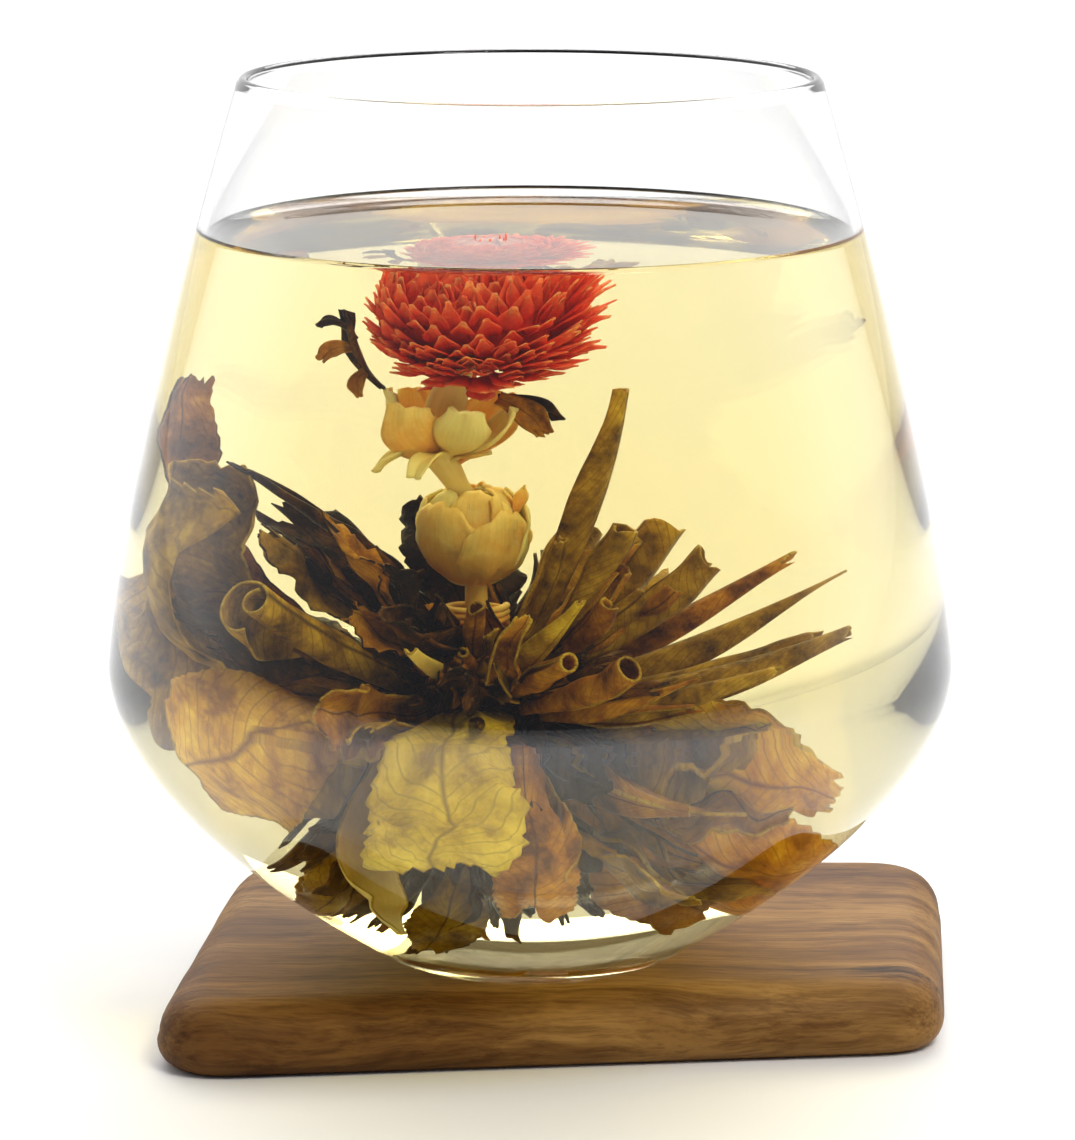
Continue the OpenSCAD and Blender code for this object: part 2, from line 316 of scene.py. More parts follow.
def wood_material():
    """Oiled hardwood with its grain along X, dark streaks and a knot near the right front corner."""
    material, tree, shader = new_material("board_wood")
    place = tree.nodes.new("ShaderNodeTexCoord").outputs["Object"]
    warp = node(tree, "ShaderNodeTexNoise", Scale=38.0, Detail=2.0, Roughness=0.5)
    tree.links.new(place, warp.inputs["Vector"])
    bend = node(tree, "ShaderNodeVectorMath", operation="SCALE", Scale=0.006)
    tree.links.new(warp.outputs["Color"], bend.inputs[0])
    bent = node(tree, "ShaderNodeVectorMath", operation="ADD")
    tree.links.new(place, bent.inputs[0])
    tree.links.new(bend.outputs[0], bent.inputs[1])

    def grain(scales, detail, rough, distortion=0.0):
        made = tree.nodes.new("ShaderNodeMapping")
        made.inputs["Scale"].default_value = scales
        tree.links.new(bent.outputs[0], made.inputs["Vector"])
        texture = node(tree, "ShaderNodeTexNoise", Scale=1.0, Detail=detail, Roughness=rough,
                       Distortion=distortion)
        tree.links.new(made.outputs[0], texture.inputs["Vector"])
        return texture.outputs["Fac"]

    broad = grain((12, 70, 70), 4.0, 0.6, 0.5)
    streak = grain((14, 260, 260), 6.0, 0.72)
    rare = grain((9, 120, 150), 3.0, 0.6)
    pore = grain((150, 1900, 1900), 3.0, 0.7)
    base = ramp(tree, broad, [(0.32, (0.12, 0.048, 0.010)), (0.50, (0.225, 0.108, 0.026)),
                              (0.68, (0.36, 0.195, 0.055))])
    lines = ramp(tree, streak, [(0.38, (0.42, 0.34, 0.28)), (0.54, (1, 1, 1))])
    dark_lines = ramp(tree, rare, [(0.30, (0.14, 0.09, 0.07)), (0.37, (1, 1, 1))])
    pores = ramp(tree, pore, [(0.38, (0.55, 0.48, 0.42)), (0.54, (1, 1, 1))])
    colour = mix(tree, 0.85, base, lines, "MULTIPLY")
    colour = mix(tree, 0.9, colour, dark_lines, "MULTIPLY")
    colour = mix(tree, 0.6, colour, pores, "MULTIPLY")
    lo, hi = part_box("serving_board")
    knot_at = (lerp(lo[0], hi[0], 0.93), lerp(lo[1], hi[1], 0.27), hi[2])
    away = node(tree, "ShaderNodeVectorMath", operation="DISTANCE")
    stretch = node(tree, "ShaderNodeVectorMath", operation="MULTIPLY")
    tree.links.new(bent.outputs[0], stretch.inputs[0])
    stretch.inputs[1].default_value = (0.7, 1.5, 1.0)
    tree.links.new(stretch.outputs[0], away.inputs[0])
    away.inputs[1].default_value = (knot_at[0] * 0.7, knot_at[1] * 1.5, knot_at[2])
    ragged = maths(tree, "MULTIPLY_ADD", maths(tree, "SUBTRACT", streak, 0.5), 0.016, away.outputs["Value"])
    knot = ramp(tree, maths(tree, "MULTIPLY", ragged, 100.0), [(0.18, (0.10, 0.045, 0.03)),
                                                               (0.42, (1, 1, 1))])
    colour = mix(tree, 0.9, colour, knot, "MULTIPLY")
    tree.links.new(colour, shader.inputs["Base Color"])
    shader.inputs["Roughness"].default_value = 0.6
    shader.inputs["Specular IOR Level"].default_value = 0.15
    bump(tree, shader, pore, 0.3, 0.0003)
    return material


def floor_material():
    material, _, shader = new_material("pale_floor")
    shader.inputs["Base Color"].default_value = (0.86, 0.86, 0.86, 1)
    shader.inputs["Roughness"].default_value = 0.9
    return material


GREEN = leaf_material("green_leaf", (0.065, 0.033, 0.002), (0.30, 0.175, 0.008), (0.56, 0.38, 0.030),
                      glow=0.1)
BROWN = leaf_material("brown_leaf", (0.085, 0.028, 0.002), (0.36, 0.150, 0.007), (0.62, 0.330, 0.022),
                      glow=0.1)
DARK = leaf_material("dark_leaf", (0.006, 0.003, 0.001), (0.026, 0.011, 0.002), (0.17, 0.070, 0.008),
                     rough=0.33)
# Painted shade: nearly black leaves, darker than the dark leaves' own colour, so the tangled middle reads as
# shaded.
SHADE_BLACK_LEAF = leaf_material("painted_shade_leaf", (0.002, 0.001, 0.0006), (0.006, 0.003, 0.001), (0.045, 0.017, 0.003),
                      rough=0.3)
# Painted light: a brighter copy of the leaf colour for the two front leaves; their own yellow tone is raised
# to stand in for the light falling on them from the front.
FRONT_LIT_LEAF = leaf_material("front_lit_leaf", (0.36, 0.25, 0.012), (0.62, 0.48, 0.040), (0.82, 0.68, 0.090), glow=0.2)
GOLD = leaf_material("gold_leaf", (0.30, 0.16, 0.006), (0.60, 0.38, 0.020), (0.82, 0.62, 0.060), glow=0.6)
EDGE = leaf_material("cut_edge", (0.22, 0.13, 0.012), (0.42, 0.28, 0.035), (0.60, 0.46, 0.080))
PALE = petal_material("pale_stem", [(0.30, (0.50, 0.36, 0.08)), (0.85, (0.76, 0.62, 0.22))], 0.2)
CREAM = petal_material("jasmine_petal", [(0.30, (0.78, 0.33, 0.08)), (0.65, (0.86, 0.50, 0.15)),
                                         (0.97, (0.95, 0.74, 0.34))],
                       0.35)
YELLOW = petal_material("jasmine_yellow", [(0.30, (0.84, 0.64, 0.24)), (0.90, (0.96, 0.88, 0.52))], 0.35)
CORAL = petal_material("amaranth_bract", [(0.30, (0.62, 0.010, 0.010)), (0.62, (0.85, 0.050, 0.030)),
                                          (0.82, (0.90, 0.12, 0.06)), (1.0, (0.95, 0.42, 0.20))],
                       0.4, 900.0, (1.0, 0.22, 0.12), 0.0022)
ROSE = petal_material("amaranth_top", [(0.30, (0.74, 0.12, 0.16)), (0.95, (0.92, 0.45, 0.45))], 0.3, 900.0,
                      (1.0, 0.3, 0.2), 0.0014)
GLASS = glass_material()
TEA = tea_material()
WOOD = wood_material()
SLOT_MATERIAL = {"green_leaf": GREEN, "brown_leaf": BROWN, "dark_leaf": DARK, "pale_stem": PALE}
NODE_SLOT = {s["node"]: s["material_slot"] for s in frame["record"]["subparts"]}


# ---------------------------------------------------------------- tumbler and tea

def radius(p):
    return math.hypot(p[0], p[1])


glass_points = [v.co for v in frame["nodes"]["tumbler"].data.vertices]
glass_lo, glass_hi = (Vector(c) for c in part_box("tumbler"))
tea_lo, tea_hi = (Vector(c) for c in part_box("tea"))
FOOT_Z, RIM_Z = glass_lo.z, glass_hi.z
BELLY = max(glass_points, key=radius)
BELLY_R, BELLY_H = radius(BELLY), BELLY.z - FOOT_Z
FOOT_R = max(radius(p) for p in glass_points if p.z < FOOT_Z + 0.1 * MM)
RIM_R = max(radius(p) for p in glass_points if p.z > RIM_Z - 0.7 * MM)
GLASS_H = RIM_Z - FOOT_Z
FILL_Z = tea_hi.z
BASE_WALL = tea_lo.z - FOOT_Z - 0.2 * MM
RIM_WALL, BELLY_WALL = 1.2 * MM, 1.5 * MM
FLOOR_R = 16.5 * MM
UPPER_BOW, LOWER_BOW = 1.3, 1.8
LATHE_SEGMENTS = 160


def upper_fall(h):
    return ((h - BELLY_H) / (GLASS_H - BELLY_H)) ** UPPER_BOW


def outer_r(h):
    if h < BELLY_H:
        return BELLY_R - (BELLY_R - FOOT_R) * (1 - h / BELLY_H) ** LOWER_BOW
    return BELLY_R - (BELLY_R - RIM_R) * upper_fall(h)


def inner_r(h):
    belly, rim = BELLY_R - BELLY_WALL, RIM_R - RIM_WALL
    if h < BELLY_H:
        share = 1 - (h - BASE_WALL) / (BELLY_H - BASE_WALL)
        return belly - (belly - FLOOR_R) * min(share, 1.0) ** LOWER_BOW
    return belly - (belly - rim) * upper_fall(h)


def span(a, b, n):
    return [lerp(a, b, i / n) for i in range(n + 1)]


def make_tumbler():
    lip = RIM_WALL / 2
    foot_round = 0.9 * MM
    dimple = 1.0 * MM
    under = [(0.0, dimple), (FOOT_R * 0.35, dimple * 0.93), (FOOT_R * 0.7, dimple * 0.6)]
    foot = [(FOOT_R - 2.4 * MM, 0.12 * MM), (FOOT_R - 1.6 * MM, 0.0), (FOOT_R - 0.6 * MM, 0.0)]
    outer = [(outer_r(h), h) for h in span(foot_round, GLASS_H - lip, 110)]
    rim = [(RIM_R - lip + lip * math.cos(a), GLASS_H - lip + lip * math.sin(a))
           for a in (math.radians(d) for d in range(15, 180, 15))]
    inner = [(inner_r(h), h) for h in span(GLASS_H - lip, BASE_WALL + 0.3 * MM, 110)]
    floor = [(FLOOR_R * s, BASE_WALL + 0.05 * MM * s) for s in (0.9, 0.6, 0.3)]
    profile = under + foot + outer + rim + inner + floor + [(0.0, BASE_WALL)]
    lathe("tumbler_glass", [(r, z + FOOT_Z) for r, z in profile], LATHE_SEGMENTS, GLASS, "glass",
          nodes=("tumbler",), slot="clear_glass")


def make_tea():
    """The tea wets the wall: it reaches a hair into it and climbs it in a meniscus."""
    wet = 0.04 * MM
    climb, reach = 1.3 * MM, 1.3 * MM
    fill = FILL_Z - FOOT_Z
    wall = [(inner_r(h) + wet, h) for h in span(BASE_WALL + 0.2 * MM, fill + climb, 110)]
    edge = wall[-1][0]
    top = []
    for step in span(0.0, 1.0, 26)[1:]:
        gap = edge * step ** 2.2
        top.append((edge - gap, fill + climb * math.exp(-gap / reach)))
    profile = [(0.0, BASE_WALL - wet), (FLOOR_R * 0.5, BASE_WALL - wet),
               (FLOOR_R * 0.9, BASE_WALL)] + wall + top
    profile[-1] = (0.0, fill)
    lathe("tea_liquid", [(r, z + FOOT_Z) for r, z in profile], LATHE_SEGMENTS, TEA, "infusion",
          nodes=("tea",), slot="tea_liquid")


# ---------------------------------------------------------------- leaves

HEART = middle("bound_heart")
RING_SIDES = 8


class Heap:
    """Gathers blades or petals into one mesh."""

    def __init__(self, *materials):
        self.materials = list(materials)
        self.verts, self.faces, self.uvs, self.picks = [], [], [], []

    def add(self, grid, material=None):
        verts, faces, uvs = grid
        start = len(self.verts)
        self.verts += verts
        self.faces += [tuple(x + start for x in f) for f in faces]
        self.uvs += uvs
        self.picks += [self.materials.index(material) if material else 0] * len(faces)

    def piece(self, name, body, nodes, slot, thick, edge=None):
        materials = self.materials + ([edge] if edge else [])
        made = add_piece(name, self.verts, self.faces, materials, body, self.uvs, nodes, slot, self.picks)
        return add_thickness(made, thick, len(materials) if edge else 0)


def leaf_line(name):
    """The rings of a CAD leaf from root to tip, as (centre, across, half width)."""
    seen = {tuple(round(c, 6) for c in v.co) for v in frame["nodes"][name].data.vertices}
    points = sorted((Vector(p) for p in seen), key=lambda p: (p - HEART).length)
    rings, before = [], None
    for i in range(0, len(points) - RING_SIDES + 1, RING_SIDES):
        ring = points[i:i + RING_SIDES]
        centre = sum(ring, Vector()) / len(ring)
        far = max(ring, key=lambda p: (p - centre).length) - centre
        across = far.normalized()
        if before is not None and across.dot(before) < 0:
            across = -across
        before = across
        rings.append((centre, across, far.length))
    return rings


def swing(rings, angle, rng):
    """The same leaf turned about the heart by a random small angle."""
    axis = Vector((rng.uniform(-1, 1), rng.uniform(-1, 1), rng.uniform(-1, 1))).normalized()
    turn = Quaternion(axis, math.radians(angle))
    out = []
    for centre, across, half in rings:
        out.append((HEART + turn @ (centre - HEART), turn @ across, half))
    return out


def along(rings, u):
    """Centre, direction, across and half width at u, from 0 at the root to 1 at the tip."""
    x = min(max(u, 0.0), 1.0) * (len(rings) - 1)
    i = min(int(x), len(rings) - 2)
    t = x - i
    before, after = rings[max(i - 1, 0)][0], rings[min(i + 2, len(rings) - 1)][0]
    centre = lerp(rings[i][0], rings[i + 1][0], t)
    way = lerp(rings[i + 1][0] - before, after - rings[i][0], t).normalized()
    side = lerp(rings[i][1], rings[i + 1][1], t).normalized()
    side = (side - way * side.dot(way)).normalized()
    return centre, way, side, lerp(rings[i][2], rings[i + 1][2], t)


def section(v, half, curl, taper):
    """A point across a leaf, v from -1 to 1: flat at curl 0, and rolled by curl radians."""
    a = curl / 2
    if abs(a) < 0.05:
        return v * half, 0.0
    r = half / abs(a) * (1 - taper * (v + 1) / 2)
    return r * math.sin(v * abs(a)), math.copysign(r * (1 - math.cos(v * a)), a)


def profile(u, root, peak, tip):
    if u < peak:
        return lerp(root, 1.0, smooth(u / peak))
    return lerp(1.0, tip, smooth((u - peak) / (1 - peak)))


def blade(rings, rows=40, cols=13, curl=(0.5, 0.5), widen=1.0, taper=0.0, twist=0.0, roll=0.0, wave=0.0,
          teeth=0.0, teeth_n=16, torn=0.0, crumple=0.0, root=0.5, peak=0.4, tip=0.3, seed=0.0, reach=1.0,
          start=0.0, bow=0.0):
    """Vertices, faces and UVs of one leaf blade along rings, in metres."""
    widest = max(r[2] for r in rings) * widen
    verts, uvs = [], []
    for i in range(rows):
        u = i / (rows - 1)
        for j in range(cols):
            v = 2 * j / (cols - 1) - 1
            rip = torn * (0.5 + 0.9 * wobble((v * 1.7, seed, 0), 1.0,
                                             seed) + 0.35 * wobble((v * 9, seed, 3), 1.0, seed))
            s = lerp(start, 1, u * reach * (1 - max(rip, 0.0) * u ** 3))
            centre, way, side, _ = along(rings, s)
            half = widest * profile(u, root, peak, tip)
            saw = (u * teeth_n) % 1.0
            ragged = teeth * (saw - 0.5) + 1.2 * teeth * wobble((u * 7, v * 0.6, seed), 1.0, seed)
            half *= 1 + ragged * smooth(abs(v) * 1.8 - 0.8)
            turn = roll + twist * u
            up = side.cross(way).normalized()
            a = side * math.cos(turn) + up * math.sin(turn)
            b = up * math.cos(turn) - side * math.sin(turn)
            x, y = section(v, half, lerp(curl[0], curl[1], u), taper)
            y += wave * half * math.sin(u * 11 + seed + v * 1.5) * v * v
            p = centre + a * x + b * (y + bow * half * math.sin(math.pi * u))
            if crumple:
                p += b * crumple * wobble(p, 4.5 * MM, seed) + a * crumple * 0.5 * wobble(p, 3.5 * MM,
                                                                                          seed + 5)
            verts.append(p)
            uvs.append((u, (v + 1) / 2))
    return verts, grid_faces(rows, cols), uvs


def keep_inside(p, gap=0.9 * MM):
    """Presses a point back off the tumbler's wall and floor."""
    h = p.z - FOOT_Z
    floor = BASE_WALL + gap
    if h < floor:
        p.z = FOOT_Z + floor
        h = floor
    most = inner_r(h) - gap * (1.5 if h < BELLY_H else 1.0)
    r = radius(p)
    if r > most:
        p.x *= most / r
        p.y *= most / r
    return p


def pressed(grid, gap=0.9 * MM):
    return [keep_inside(p, gap) for p in grid[0]], grid[1], grid[2]


NEEDLE = dict(curl=(4.6, 3.4), widen=1.8, taper=0.15, torn=0.03, root=0.7, peak=0.35, tip=0.10)
BLUNT = {**NEEDLE, "tip": 0.42, "torn": 0.07}
ROLLED = dict(curl=(5.0, 5.4), widen=2.3, taper=0.22, torn=0.07, root=0.5, peak=0.75, tip=0.9,
              crumple=0.4 * MM)
DARK_ROLL = dict(curl=(4.6, 3.0), widen=1.7, taper=0.2, torn=0.12, root=0.5, peak=0.5, tip=0.45,
                 crumple=1.2 * MM, wave=0.25, twist=0.8)
BROAD = dict(curl=(1.0, 0.6), widen=1.15, teeth=0.09, teeth_n=17, torn=0.10, crumple=1.0 * MM, wave=0.16,
             root=0.25, peak=0.55, tip=0.5, rows=64, cols=21)
SCRAP = dict(curl=(2.2, 1.0), widen=1.5, teeth=0.16, teeth_n=9, torn=0.22, crumple=1.5 * MM, wave=0.3,
             root=0.4, peak=0.6, tip=0.6, twist=0.7)

# For each leaf: the colour of its blade, its shape, and how many more blades lie in its bunch.
LEAF_STYLES = {
    "tall_needle": (GREEN, {**BLUNT, "curl": (4.8, 3.0), "peak": 0.55, "tip": 0.42, "widen": 2.5,
                            "twist": 0.4,
                             "torn": 0.02}, 0),
    "right_needle_1": (GREEN, {**NEEDLE, "widen": 2.8, "tip": 0.06}, 0),
    "right_needle_2": (BROWN, {**BLUNT, "widen": 2.4}, 0),
    "right_needle_3": (GREEN, {**BLUNT, "widen": 3.0, "peak": 0.45}, 1),
    "right_needle_4": (GREEN, {**BLUNT, "torn": 0.12, "widen": 2.6}, 1),
    "right_needle_5": (BROWN, {**NEEDLE, "widen": 2.4}, 1),
    # Painted light: this needle gets the brightened front leaf colour.
    "front_needle": (FRONT_LIT_LEAF, {**NEEDLE, "curl": (2.8, 3.4), "widen": 1.9, "tip": 0.3}, 0),
    "hooked_leaf": (BROWN, {**DARK_ROLL, "widen": 1.8, "bow": 0.5}, 2),
    "tan_roll": (BROWN, {**ROLLED, "curl": (5.6, 6.4), "widen": 2.2}, 1),
    "grey_bud": (PALE, {**NEEDLE, "tip": 0.5}, 0),
    "rolled_tip_5": (BROWN, {**ROLLED, "curl": (4.2, 6.3), "widen": 2.6, "taper": 0.0, "torn": 0.02}, 2),
    "serrated_leaf_right": (GOLD, {**BROAD, "teeth": 0.22, "teeth_n": 8, "crumple": 1.6 * MM, "tip": 0.25},
                            3),
    "long_flat_leaf": (BROWN, {**NEEDLE, "curl": (1.4, 0.8), "widen": 1.0, "tip": 0.35}, 1),
    "wall_leaf_left": (GREEN, {**ROLLED, "curl": (2.6, 4.9), "widen": 2.0, "tip": 0.95, "torn": 0.13,
                               "rows": 60,
                               "cols": 27, "crumple": 1.0 * MM}, 1),
    "scroll_leaf": (GREEN, {**ROLLED, "curl": (2.6, 9.6), "widen": 3.2, "taper": 0.7, "cols": 45,
                            "torn": 0.02,
                            "crumple": 0.2 * MM, "tip": 1.2}, 0),
    "midrib_leaf_left": (GOLD, {**BROAD, "teeth": 0.05, "teeth_n": 24, "root": 0.14, "peak": 0.68, "tip": 0.7,
                                 "widen": 1.35, "crumple": 0.7 * MM, "torn": 0.06, "curl": (0.5, -0.6)}, 0),
    # Painted light: this leaf gets the brightened front leaf colour.
    "front_leaf": (FRONT_LIT_LEAF, {**BROAD, "teeth": 0.10, "teeth_n": 21, "torn": 0.12, "crumple": 1.3 * MM,
                            "root": 0.6,
                            "peak": 0.5, "tip": 0.85, "widen": 0.88, "curl": (-1.0, -0.6), "wave": 0.12}, 0),
    "pale_sprout": (PALE, {**NEEDLE, "curl": (3.4, 2.8), "widen": 1.9, "tip": 0.35, "root": 0.9}, 0),
    "ragged_leaf_left": (BROWN, {**SCRAP, "widen": 1.3}, 2),
    "brown_leaf": (BROWN, {**BROAD, "torn": 0.15, "tip": 0.85}, 1),
    "low_leaf_right_1": (GOLD, {**BROAD, "tip": 0.8, "crumple": 1.6 * MM, "widen": 1.4}, 1),
    "low_leaf_right_2": (GREEN, {**BROAD, "tip": 0.8, "crumple": 1.6 * MM}, 0),
    "zigzag_leaf": (GREEN, {**SCRAP, "teeth": 0.3}, 2),
    "curled_leaf_1": (BROWN, {**BROAD, "widen": 1.2, "peak": 0.75, "tip": 0.8, "curl": (1.6, 1.6)}, 0),
    "curled_leaf_2": (BROWN, {**SCRAP, "teeth": 0.3}, 2),
    "curled_leaf_3": (DARK, {**SCRAP, "widen": 1.3}, 1),
    # Painted shade: this leaf's blade gets the near-black shade colour.
    "level_leaf": (SHADE_BLACK_LEAF, {**DARK_ROLL, "widen": 2.2, "torn": 0.05}, 1),
    "dark_leaf_5": (DARK, {**SCRAP, "widen": 2.2}, 1),
    "back_leaf_4": (GOLD, {**BROAD, "widen": 1.5, "tip": 0.8}, 2),
    "back_leaf_5": (GOLD, {**BROAD, "widen": 1.5, "tip": 0.8}, 2),
    "arch_leaf": (DARK, {**DARK_ROLL, "twist": 0.2, "wave": 0.1, "crumple": 0.5 * MM}, 0),
}
# Painted shade: the dark bunches also draw on the near-black shade colour.
PALETTES = {"green_leaf": [GREEN, BROWN], "brown_leaf": [BROWN, GREEN], "dark_leaf": [DARK, SHADE_BLACK_LEAF, BROWN],
            "pale_stem": [PALE]}


def style_of(name):
    if name in LEAF_STYLES:
        return LEAF_STYLES[name]
    material = SLOT_MATERIAL[NODE_SLOT[name]]
    if name == "rolled_tip_2":
        return material, {**ROLLED, "widen": 1.0}, 0
    if name.startswith("rolled_tip"):
        return material, ROLLED, 2
    if name.startswith("bottom_leaf"):
        return GREEN, BROAD, 1
    if name.startswith("back_leaf"):
        return material, {**BROAD, "widen": 1.3}, 2
    return material, DARK_ROLL, 3


def add_leaf(name, seed):
    """The leaf itself, with a few of the thinner leaves that are bound in beside it."""
    rng = random.Random(name)
    material, style, more = style_of(name)
    rings = leaf_line(name)
    edge = DARK if NODE_SLOT[name] == "dark_leaf" else EDGE
    heap = Heap(*dict.fromkeys([material, GREEN, BROWN, DARK, SHADE_BLACK_LEAF]))
    heap.add(pressed(blade(rings, **{**style, "seed": seed})), material)
    for k in range(more):
        extra = {**style, "seed": seed + 11.3 * (k + 1), "roll": rng.uniform(-2.5, 2.5), "rows": 30,
                 "cols": 11}
        extra["widen"] = style.get("widen", 1.0) * rng.uniform(0.6, 0.9)
        extra["reach"] = rng.uniform(0.6, 0.85)
        extra["crumple"] = style.get("crumple", 0.0) + rng.uniform(0.2, 0.7) * MM
        lie = swing(rings, rng.choice((-1, 1)) * rng.uniform(5, 11), rng)
        colour = rng.choice(PALETTES[NODE_SLOT[name]])
        heap.add(pressed(blade(lie, **extra), 1.3 * MM), colour)
    heap.piece(name + "_blades", "infusion", (name,), NODE_SLOT[name], 0.3 * MM, edge)


def make_leaves():
    others = {"tea", "bound_heart", "binding_thread"}
    names = [n for n in frame["record"]["behaviour"]["bodies"]["infusion"]
             if n not in others and not n.startswith("settled")]
    for i, name in enumerate(names):
        add_leaf(name, 1.7 * i + 0.3)


def make_settled():
    for i in (1, 2, 3):
        name = f"settled_leaf_{i}"
        lo, hi = (Vector(c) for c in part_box(name))
        mid, half = (lo + hi) / 2, (hi - lo) / 2
        rows, cols = 22, 14
        verts, uvs = [], []
        for r in range(rows):
            for c in range(cols):
                u, v = r / (rows - 1), c / (cols - 1)
                a, b = 2 * u - 1, 2 * v - 1
                edge = 1 + 0.16 * wobble((a * 2, b * 2, i), 1.0, i)
                p = mid + Vector((a * half.x * edge, b * half.y * math.sqrt(max(0.1,
                                                                                1 - 0.8 * a * a)) * edge, 0))
                p.z += 1.0 * MM * wobble(p, 5 * MM, i) + (1.0 + 1.4 * b) * MM
                verts.append(keep_inside(p, 0.5 * MM))
                uvs.append((u, v))
        piece = add_piece(name + "_scrap", verts, grid_faces(rows, cols), [BROWN, EDGE], "infusion", uvs,
                          (name,),
                          "brown_leaf")
        add_thickness(piece, 0.35 * MM, 1)


def make_heart():
    """The tied middle: a spiky ball of short rolled leaves that grow from one knot."""
    lo, hi = (Vector(c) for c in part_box("bound_heart"))
    core = (hi - lo).x / 2
    heap = Heap(SHADE_BLACK_LEAF, DARK, BROWN)
    count = 190
    for k in range(count):
        z = 1 - 2 * (k + 0.5) / count
        turn = golden_turn(k)
        flat = math.sqrt(1 - z * z)
        way = Vector((flat * math.cos(turn), flat * math.sin(turn), z))
        if way.z > 0.80:
            continue
        way = (way + 0.3 * Vector((RNG.uniform(-1, 1), RNG.uniform(-1, 1), RNG.uniform(-1, 1)))).normalized()
        length = core * RNG.uniform(1.3, 2.35)
        side = way.cross(UP).normalized()
        wide = RNG.uniform(0.9, 1.9) * MM
        bend = 0.3 * length * Vector((RNG.uniform(-1, 1), RNG.uniform(-1, 1), RNG.uniform(-1, 0.6)))
        rings = []
        for s in range(6):
            t = s / 5
            rings.append((HEART + way * lerp(core * 0.4, length, t) + bend * t * t, side, wide))
        grid = blade(rings, rows=16, cols=9, curl=(4.5, RNG.uniform(2.0, 5)), widen=2.1, taper=0.2, torn=0.15,
                     tip=RNG.uniform(0.1, 0.8), crumple=0.8 * MM, roll=RNG.uniform(-3, 3), seed=k * 0.77)
        # Painted shade: the near-black picks darken the tied middle as if it were in shade; the dark and
        # brown picks keep the leaves' own colours.
        heap.add(pressed(grid), RNG.choice((SHADE_BLACK_LEAF, SHADE_BLACK_LEAF, DARK, DARK, DARK, BROWN)))
    heap.piece("heart_leaves", "infusion", ("bound_heart",), "dark_leaf", 0.3 * MM, DARK)


# ---------------------------------------------------------------- flower

def bezier(points, t):
    points = [Vector(p) for p in points]
    while len(points) > 1:
        points = [lerp(a, b, t) for a, b in zip(points, points[1:])]
    return points[0]


def petal(points, face, width, cup=0.4, rows=12, cols=7, root=0.45, peak=0.6, tip=0.35, frill=0.0, seed=0.0):
    """A petal along a curve; face is the way its upper side looks and cup how far it is hollowed."""
    verts, uvs = [], []
    for i in range(rows):
        u = i / (rows - 1)
        centre = bezier(points, u)
        way = (bezier(points, min(u + 0.05, 1.05)) - bezier(points, u - 0.05)).normalized()
        side = way.cross(face).normalized()
        up = side.cross(way).normalized()
        half = width * profile(u, root, peak, tip)
        for j in range(cols):
            v = 2 * j / (cols - 1) - 1
            x, y = section(v, half, cup * 3, 0.0)
            p = centre + side * x + up * y
            if frill:
                p += (up + way * 0.6) * frill * width * u * wobble((v * 2.2 + seed, u * 2, seed), 1.0, seed)
            verts.append(p)
            uvs.append((u, (v + 1) / 2))
    return verts, grid_faces(rows, cols), uvs


def inside(box, fx, fy, fz):
    """A point by its share of the way across a box; shares outside 0 to 1 lie outside it."""
    lo, hi = box
    return Vector((lerp(lo[0], hi[0], fx), lerp(lo[1], hi[1], fy), lerp(lo[2], hi[2], fz)))


def make_amaranth():
    """A globe of blunt papery bracts, laid in a spiral round a lumpy core; they flare out towards +X."""
    lo, hi = (Vector(c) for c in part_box("amaranth_head"))
    mid, size = (lo + hi) / 2, (hi - lo) / 2
    heap = Heap(CORAL, ROSE)
    count = 560
    for k in range(count):
        z = lerp(-0.98, 0.99, (k + 0.5) / count)
        turn = golden_turn(k)
        flat = math.sqrt(max(0.0, 1 - z * z))
        normal = Vector((flat * math.cos(turn), flat * math.sin(turn), z))
        climb = UP - normal * normal.z
        climb = climb.normalized() if climb.length > 0.05 else Vector((math.cos(turn), math.sin(turn), 0))
        jitter = Vector((RNG.uniform(-1, 1), RNG.uniform(-1, 1), RNG.uniform(-1, 1))) * 0.22
        lean = RNG.uniform(0.10, 0.24) if z > -0.2 else RNG.uniform(0.25, 0.5)
        way = (climb * (1 - lean) + normal * lean + jitter).normalized()
        length = RNG.uniform(2.6, 3.8) * MM
        flare = max(0.0, normal.x) * (1 - abs(z))
        length *= 1 + 0.6 * flare
        base = mid + Vector((normal.x * size.x, normal.y * size.y,
                             normal.z * size.z)) * RNG.uniform(0.72, 0.80)
        if z < -0.3:
            base.z -= 1.2 * MM
        bend = climb * length * RNG.uniform(0.0, 0.3) + normal * length * 0.5 * flare
        points = [base, base + way * length * 0.55, base + way * length + bend]
        heap.add(petal(points, normal, RNG.uniform(1.1, 1.6) * MM, 0.5, rows=8, cols=5, root=0.6, peak=0.5,
                       tip=0.22, seed=k), ROSE if z > 0.72 else CORAL)
    for v in heap.verts:
        v.z = min(v.z, FILL_Z - 0.4 * MM)
    for k in range(9):
        a = 2.4 * k
        base = mid + Vector((math.cos(a) * 2.2 * MM, math.sin(a) * 1.6 * MM, size.z * 0.80))
        heap.add(petal([base, base + UP * 1.2 * MM, base + UP * RNG.uniform(2.2, 3.0) * MM],
                       Vector((math.cos(a), math.sin(a), 0)), 0.35 * MM, 0.3, rows=6, cols=4, tip=0.05),
                 CORAL)
    core = bmesh.new()
    bmesh.ops.create_icosphere(core, subdivisions=4, radius=1.0)
    start = len(heap.verts)
    for v in core.verts:
        lump = 0.79 + 0.05 * noise.noise(v.co * 5)
        heap.verts.append(mid + Vector((v.co.x * size.x, v.co.y * size.y, v.co.z * size.z)) * lump)
        heap.uvs.append((0.2, 0.3))
    for f in core.faces:
        heap.faces.append(tuple(v.index + start for v in f.verts))
        heap.picks.append(0)
    core.free()
    heap.piece("amaranth_bracts", "flower", ("amaranth_head",), "amaranth_bract", 0.10 * MM)


